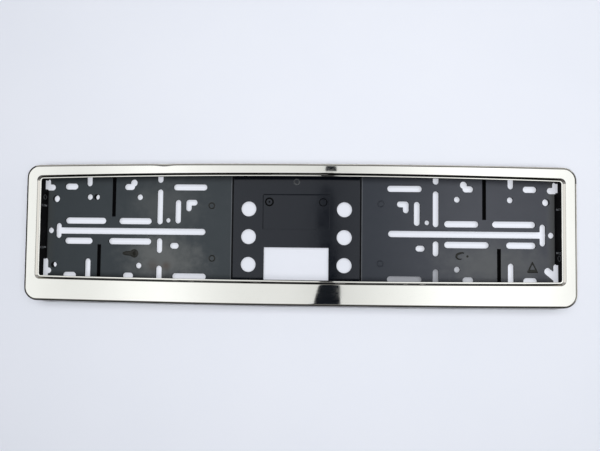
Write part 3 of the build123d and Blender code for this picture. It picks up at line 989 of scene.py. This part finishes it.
steel = add_node(
    tree,
    "ShaderNodeBsdfPrincipled",
    {},
    {
        "Base Color": tone.outputs[2],
        "Metallic": 1.0,
        "Specular Tint": linear(STEEL_GRAZED),
        "Roughness": dulled.outputs["Result"],
        "Normal": lines.outputs["Normal"],
    },
)
add_node(tree, "ShaderNodeOutputMaterial", {}, {"Surface": steel.outputs["BSDF"]})

cover = add_piece("cover_frame_pressed", cover_mesh, polished_stainless)
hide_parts("cover_frame")

# Table: a large sheet of bluish-white paper board that the holder lies on.
# It is laid flat and reaches far past the picture on every side.
BOARD_HALF = 3000.0
BOARD_TONE = "#eef1f9"
BOARD_MOTTLE = "#e9edf6"
MOTTLE_SIZE = 120.0


def add_stage(name, mesh, material, seen=True):
    """Make a piece of the studio from a bmesh, with its finish. One that isn't seen is only mirrored."""
    data = bpy.data.meshes.new(name)
    mesh.to_mesh(data)
    mesh.free()
    data.materials.append(material)
    piece = bpy.data.objects.new(name, data)
    piece.visible_camera = seen
    piece.visible_diffuse = seen
    piece.visible_shadow = seen
    bpy.context.scene.collection.objects.link(piece)
    return piece


# Matt board scatters light evenly, with a faint mottle of its fibres
matt_board, tree = bare_material("paper_board_matt")
place = add_node(tree, "ShaderNodeTexCoord", {}, {}).outputs["Object"]
mottle = add_node(
    tree,
    "ShaderNodeTexNoise",
    {},
    {"Vector": place, "Scale": 1 / (MOTTLE_SIZE * MM), "Detail": 3.0, "Roughness": 0.5},
)
board_colour = add_node(
    tree,
    "ShaderNodeMix",
    {"data_type": "RGBA"},
    {0: mottle.outputs["Fac"], 6: linear(BOARD_TONE), 7: linear(BOARD_MOTTLE)},
)
board = add_node(
    tree,
    "ShaderNodeBsdfPrincipled",
    {},
    {"Base Color": board_colour.outputs[2], "Roughness": 0.6, "IOR": 1.4},
)
add_node(tree, "ShaderNodeOutputMaterial", {}, {"Surface": board.outputs["BSDF"]})
board_mesh = bmesh.new()
bmesh.ops.create_grid(board_mesh, x_segments=8, y_segments=8, size=BOARD_HALF * MM)
add_stage("white_board", board_mesh, matt_board)

# Sheet under the tray: tracing paper on the board, inside the tray's outer wall. It glows a little,
# so that it stays bright behind the holes, and is dimmer below the middle on the right.
PAPER_TONE = "#b4b7bf"
PAPER_FIBRE = "#afb2ba"
PAPER_SHADED = "#4a4c52"
PAPER_GLOW = 0.42
PAPER_HALF_LENGTH, PAPER_BOTTOM, PAPER_TOP, PAPER_Z = 259.0, -46.0, 60.0, 0.05
FIBRE_SIZE = 15.0
SHADE_X, SHADE_Y, SHADE_REACH_X, SHADE_REACH_Y = 122.0, -42.0, 75.0, 32.0


def level_sheet(outline, z):
    """Mesh of a level sheet with the given corners."""
    mesh = bmesh.new()
    mesh.faces.new([mesh.verts.new(Vector((x, y, z)) * MM) for x, y in outline])
    return mesh


# Lit tracing paper is milky and dull, and its fibres show as faint clouds
lit_paper, tree = bare_material("tracing_paper_lit")
place = add_node(tree, "ShaderNodeTexCoord", {}, {}).outputs["Object"]
axes = add_node(tree, "ShaderNodeSeparateXYZ", {}, {"Vector": place})
fibre = add_node(
    tree,
    "ShaderNodeTexNoise",
    {},
    {"Vector": place, "Scale": 1 / (FIBRE_SIZE * MM), "Detail": 4.0, "Roughness": 0.6},
)
paper_colour = add_node(
    tree,
    "ShaderNodeMix",
    {"data_type": "RGBA"},
    {0: fibre.outputs["Fac"], 6: linear(PAPER_TONE), 7: linear(PAPER_FIBRE)},
)
offset = add_node(
    tree,
    "ShaderNodeVectorMath",
    {"operation": "SUBTRACT"},
    {0: place, 1: (SHADE_X * MM, SHADE_Y * MM, 0.0)},
)
scaled = add_node(
    tree,
    "ShaderNodeVectorMath",
    {"operation": "MULTIPLY"},
    {0: offset.outputs[0], 1: (1 / (SHADE_REACH_X * MM), 1 / (SHADE_REACH_Y * MM), 0.0)},
)
distance = add_node(tree, "ShaderNodeVectorMath", {"operation": "LENGTH"}, {0: scaled.outputs[0]})
lit = add_node(
    tree,
    "ShaderNodeMapRange",
    {"interpolation_type": "SMOOTHSTEP"},
    {"Value": distance.outputs["Value"], "From Min": 0.3, "From Max": 1.0, "To Min": 0.4},
)
shaded_colour = add_node(
    tree,
    "ShaderNodeMix",
    {"data_type": "RGBA"},
    {0: lit.outputs["Result"], 6: linear(PAPER_SHADED), 7: paper_colour.outputs[2]},
)
# It glows more under both ends: from where, to where, and by how much
glow = None
for begins, full, more in ((-60.0, -130.0, 0.085), (60.0, 200.0, 0.12)):
    end_glow = add_node(
        tree,
        "ShaderNodeMapRange",
        {},
        {"Value": axes.outputs["X"], "From Min": begins * MM, "From Max": full * MM, "To Max": more},
    )
    glow = add_node(
        tree,
        "ShaderNodeMath",
        {"operation": "ADD"},
        {0: end_glow.outputs["Result"], 1: glow.outputs[0] if glow else PAPER_GLOW},
    )
paper_glow = add_node(
    tree,
    "ShaderNodeMath",
    {"operation": "MULTIPLY"},
    {0: lit.outputs["Result"], 1: glow.outputs[0]},
)
paper = add_node(
    tree,
    "ShaderNodeBsdfPrincipled",
    {},
    {
        "Base Color": shaded_colour.outputs[2],
        "Roughness": 0.7,
        "Emission Color": linear(BOARD_TONE),
        "Emission Strength": paper_glow.outputs[0],
    },
)
add_node(tree, "ShaderNodeOutputMaterial", {}, {"Surface": paper.outputs["BSDF"]})
paper_outline = [
    (-PAPER_HALF_LENGTH, PAPER_BOTTOM),
    (PAPER_HALF_LENGTH, PAPER_BOTTOM),
    (PAPER_HALF_LENGTH, PAPER_TOP),
    (-PAPER_HALF_LENGTH, PAPER_TOP),
]
add_stage("lit_sheet", level_sheet(paper_outline, PAPER_Z), lit_paper)

# Light panel: a white diffuser over the table with lamps behind it, brighter to the right. The steel and
# the plastic mirror its glow. The camera doesn't see it, and it doesn't light the board.
DIFFUSER_Z = 1200.0
DIFFUSER_LEFT, DIFFUSER_RIGHT, DIFFUSER_HALF_Y = -1130.0, 1010.0, 520.0
DIFFUSER_LIGHT = "#eff5ff"
DIFFUSER_GLOW = 0.93

# A diffuser glows evenly, and its lamps and a seam show as soft paler and darker patches. Each of these
# is a centre and a spread along the table, and what it adds to the glow.
glowing_panel, tree = bare_material("light_panel_white")
place = add_node(tree, "ShaderNodeTexCoord", {}, {}).outputs["Object"]
axes = add_node(tree, "ShaderNodeSeparateXYZ", {}, {"Vector": place})
glow = None
for patch_x, patch_spread, patch_glow in (
    (-1060.0, 140.0, 0.14),
    (-560.0, 200.0, 0.3),
    (650.0, 300.0, 0.5),
    (90.0, 130.0, -0.1),
):
    away = add_node(
        tree,
        "ShaderNodeMath",
        {"operation": "MULTIPLY_ADD"},
        {0: axes.outputs["X"], 1: 1 / (patch_spread * MM), 2: -patch_x / patch_spread},
    )
    square = add_node(
        tree,
        "ShaderNodeMath",
        {"operation": "MULTIPLY"},
        {0: away.outputs[0], 1: away.outputs[0]},
    )
    fall = add_node(tree, "ShaderNodeMath", {"operation": "MULTIPLY"}, {0: square.outputs[0], 1: -1.0})
    patch = add_node(tree, "ShaderNodeMath", {"operation": "EXPONENT"}, {0: fall.outputs[0]})
    glow = add_node(
        tree,
        "ShaderNodeMath",
        {"operation": "MULTIPLY_ADD"},
        {0: patch.outputs[0], 1: patch_glow, 2: glow.outputs[0] if glow else DIFFUSER_GLOW},
    )
diffuser = add_node(
    tree,
    "ShaderNodeEmission",
    {},
    {"Color": linear(DIFFUSER_LIGHT), "Strength": glow.outputs[0]},
)
add_node(tree, "ShaderNodeOutputMaterial", {}, {"Surface": diffuser.outputs["Emission"]})
diffuser_outline = [
    (DIFFUSER_LEFT, -DIFFUSER_HALF_Y),
    (DIFFUSER_RIGHT, -DIFFUSER_HALF_Y),
    (DIFFUSER_RIGHT, DIFFUSER_HALF_Y),
    (DIFFUSER_LEFT, DIFFUSER_HALF_Y),
]
add_stage("light_panel", level_sheet(diffuser_outline, DIFFUSER_Z), glowing_panel, seen=False)

# Soft lamp: a wide lamp hung just under the panel, a little right of the middle.
# It lights the board and the holder evenly, and is mirrored by neither.
LAMP_X, LAMP_Y, LAMP_DROP = 160.0, 130.0, 20.0
LAMP_LENGTH, LAMP_WIDTH = 1500.0, 1100.0
LAMP_POWER = 16.3
lamp_data = bpy.data.lights.new("soft_lamp", "AREA")
lamp_data.shape = "RECTANGLE"
lamp_data.size = LAMP_LENGTH * MM
lamp_data.size_y = LAMP_WIDTH * MM
lamp_data.energy = LAMP_POWER
soft_lamp = bpy.data.objects.new("soft_lamp", lamp_data)
soft_lamp.location = Vector((LAMP_X, LAMP_Y, DIFFUSER_Z - LAMP_DROP)) * MM
soft_lamp.visible_glossy = False
soft_lamp.visible_camera = False
bpy.context.scene.collection.objects.link(soft_lamp)

# Dark cards: two pieces of card covered with black cloth, hung level beside the camera.
# The polished steel mirrors them as the dark patches on its lower and upper bars.
CARD_Z = 456.0
CLOTH_TONE = "#1d2128"
CARD_OUTLINE = [
    (5, -220),
    (18, -118),
    (29, -80),
    (27, 0),
    (28, 60),
    (36, 104),
    (54, 104),
    (54, 0),
    (67, -80),
    (70, -220),
]
CORNER_CARD_OUTLINE = [(37, 130), (59, 130), (57, 152), (39, 152)]
# Black woven cloth has no gloss at all
dark_cloth, tree = bare_material("cloth_black_woven")
cloth = add_node(tree, "ShaderNodeBsdfDiffuse", {}, {"Color": linear(CLOTH_TONE)})
add_node(tree, "ShaderNodeOutputMaterial", {}, {"Surface": cloth.outputs["BSDF"]})
add_stage("dark_card", level_sheet(CARD_OUTLINE, CARD_Z), dark_cloth, seen=False)
add_stage("dark_corner_card", level_sheet(CORNER_CARD_OUTLINE, CARD_Z), dark_cloth, seen=False)

# Room: dim walls round the table, with a pale screen standing at each end of it. The steel's bends and the
# plastic mirror them. Numbers along X, Y and Z are parts of a direction of length one.
ROOM_LIGHT = "#f6f8ff"
ROOM_DIM, ROOM_SCREEN, ROOM_LOW = 0.12, 0.85, 0.32
room = bpy.data.worlds.new("dim_room")
room.use_nodes = True
tree = room.node_tree
tree.nodes.clear()
outwards = add_node(tree, "ShaderNodeTexCoord", {}, {}).outputs["Generated"]
axes = add_node(tree, "ShaderNodeSeparateXYZ", {}, {"Vector": outwards})
# Each screen: where it begins and is full along X, and how far it lowers the dark part of the room
above = axes.outputs["Z"]
for begins, full, drop in ((-0.7, -0.9, -0.5), (0.7, 0.9, -0.52)):
    screen = add_node(
        tree,
        "ShaderNodeMapRange",
        {"interpolation_type": "SMOOTHSTEP"},
        {"Value": axes.outputs["X"], "From Min": begins, "From Max": full, "To Max": drop},
    )
    lowered = add_node(
        tree,
        "ShaderNodeMath",
        {"operation": "ADD"},
        {0: above, 1: screen.outputs["Result"]},
    )
    above = lowered.outputs[0]
walls = add_node(
    tree,
    "ShaderNodeMapRange",
    {"interpolation_type": "SMOOTHSTEP"},
    {"Value": above, "From Min": -0.22, "From Max": -0.12, "To Min": ROOM_SCREEN, "To Max": ROOM_DIM},
)
# The room is paler low down, and more so behind the holder
behind = add_node(
    tree,
    "ShaderNodeMapRange",
    {"interpolation_type": "SMOOTHSTEP"},
    {"Value": axes.outputs["Y"], "From Min": -0.3, "From Max": 0.3, "To Max": -0.2},
)
low_down = add_node(
    tree,
    "ShaderNodeMath",
    {"operation": "ADD"},
    {0: axes.outputs["Z"], 1: behind.outputs["Result"]},
)
pale_walls = add_node(
    tree,
    "ShaderNodeMapRange",
    {"interpolation_type": "SMOOTHSTEP"},
    {
        "Value": low_down.outputs[0],
        "From Min": 0.28,
        "From Max": 0.42,
        "To Min": ROOM_LOW,
        "To Max": ROOM_DIM,
    },
)
room_glow = add_node(
    tree,
    "ShaderNodeMath",
    {"operation": "MAXIMUM"},
    {0: walls.outputs["Result"], 1: pale_walls.outputs["Result"]},
)
air = add_node(
    tree,
    "ShaderNodeBackground",
    {},
    {"Color": linear(ROOM_LIGHT), "Strength": room_glow.outputs[0]},
)
add_node(tree, "ShaderNodeOutputWorld", {}, {"Surface": air.outputs["Background"]})
bpy.context.scene.world = room

# Camera: a wide lens about 45 cm above the holder, a little right of its middle.
# It looks straight down, tilted by two degrees each way and turned by half a degree.
CAMERA_X, CAMERA_Y, CAMERA_Z = 19.4, -4.2, 451.5
CAMERA_ANGLES = (0.0331971, 0.0350492, 0.0099687)
CAMERA_LENS, CAMERA_FILM = 27.0, 36.0
camera_data = bpy.data.cameras.new("overhead_camera")
camera_data.lens = CAMERA_LENS
camera_data.sensor_width = CAMERA_FILM
camera = bpy.data.objects.new("overhead_camera", camera_data)
camera.location = Vector((CAMERA_X, CAMERA_Y, CAMERA_Z)) * MM
camera.rotation_mode = "ZYX"
camera.rotation_euler = CAMERA_ANGLES
bpy.context.scene.collection.objects.link(camera)
bpy.context.scene.camera = camera
bpy.context.scene.view_settings.view_transform = "Standard"
